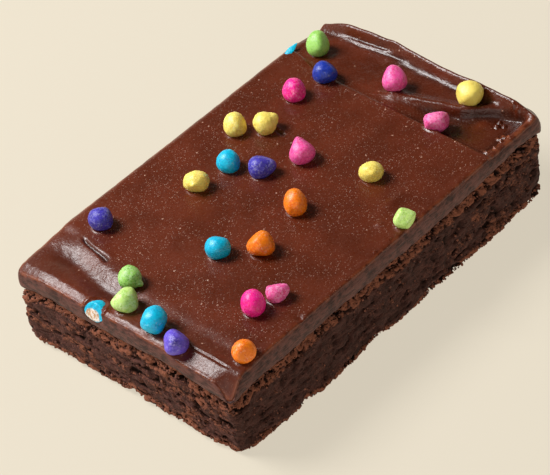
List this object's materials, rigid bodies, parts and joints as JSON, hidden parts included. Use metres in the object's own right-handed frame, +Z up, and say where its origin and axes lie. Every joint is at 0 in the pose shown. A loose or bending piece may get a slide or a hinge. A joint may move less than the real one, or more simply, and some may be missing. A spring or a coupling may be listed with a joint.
{
  "type": "iced chocolate brownie",
  "caption": "Rectangular slab of dense chocolate brownie with a thick glossy fudge icing and small candy-coated chips pressed into its top.",
  "frame": {"origin": "middle of the underside, on the surface that the brownie rests on", "axes": "+X along the long side, +Y along the short side, +Z up through the icing"},
  "size_m": [0.0865, 0.0542, 0.0231],
  "materials": {
    "cake": "matt, open crumb",
    "icing": "soft gloss on top, matt at the cut sides",
    "candy_blue": "satin candy shell",
    "candy_cyan": "satin candy shell",
    "candy_green": "satin candy shell",
    "candy_indigo": "satin candy shell",
    "candy_lime": "satin candy shell",
    "candy_magenta": "satin candy shell",
    "candy_orange": "satin candy shell",
    "candy_pink": "satin candy shell",
    "candy_violet": "satin candy shell",
    "candy_yellow": "satin candy shell"
  },
  "bodies": {
    "root": {"cake": "cake", "icing": "icing", "candy_green_1": "candy_green", "candy_green_2": "candy_green", "candy_lime_1": "candy_lime", "candy_lime_2": "candy_lime", "candy_blue_1": "candy_blue", "candy_magenta_1": "candy_magenta", "candy_magenta_2": "candy_magenta", "candy_pink_1": "candy_pink", "candy_pink_2": "candy_pink", "candy_pink_3": "candy_pink", "candy_pink_4": "candy_pink", "candy_yellow_1": "candy_yellow", "candy_yellow_2": "candy_yellow", "candy_yellow_3": "candy_yellow", "candy_yellow_4": "candy_yellow", "candy_yellow_5": "candy_yellow", "candy_orange_1": "candy_orange", "candy_orange_2": "candy_orange", "candy_orange_3": "candy_orange", "candy_indigo_1": "candy_indigo", "candy_indigo_2": "candy_indigo", "candy_violet_1": "candy_violet", "candy_cyan_1": "candy_cyan", "candy_cyan_2": "candy_cyan", "candy_cyan_3": "candy_cyan", "candy_cyan_cut": "candy_cyan", "candy_cyan_flake": "candy_cyan"}
  },
  "joints": []
}
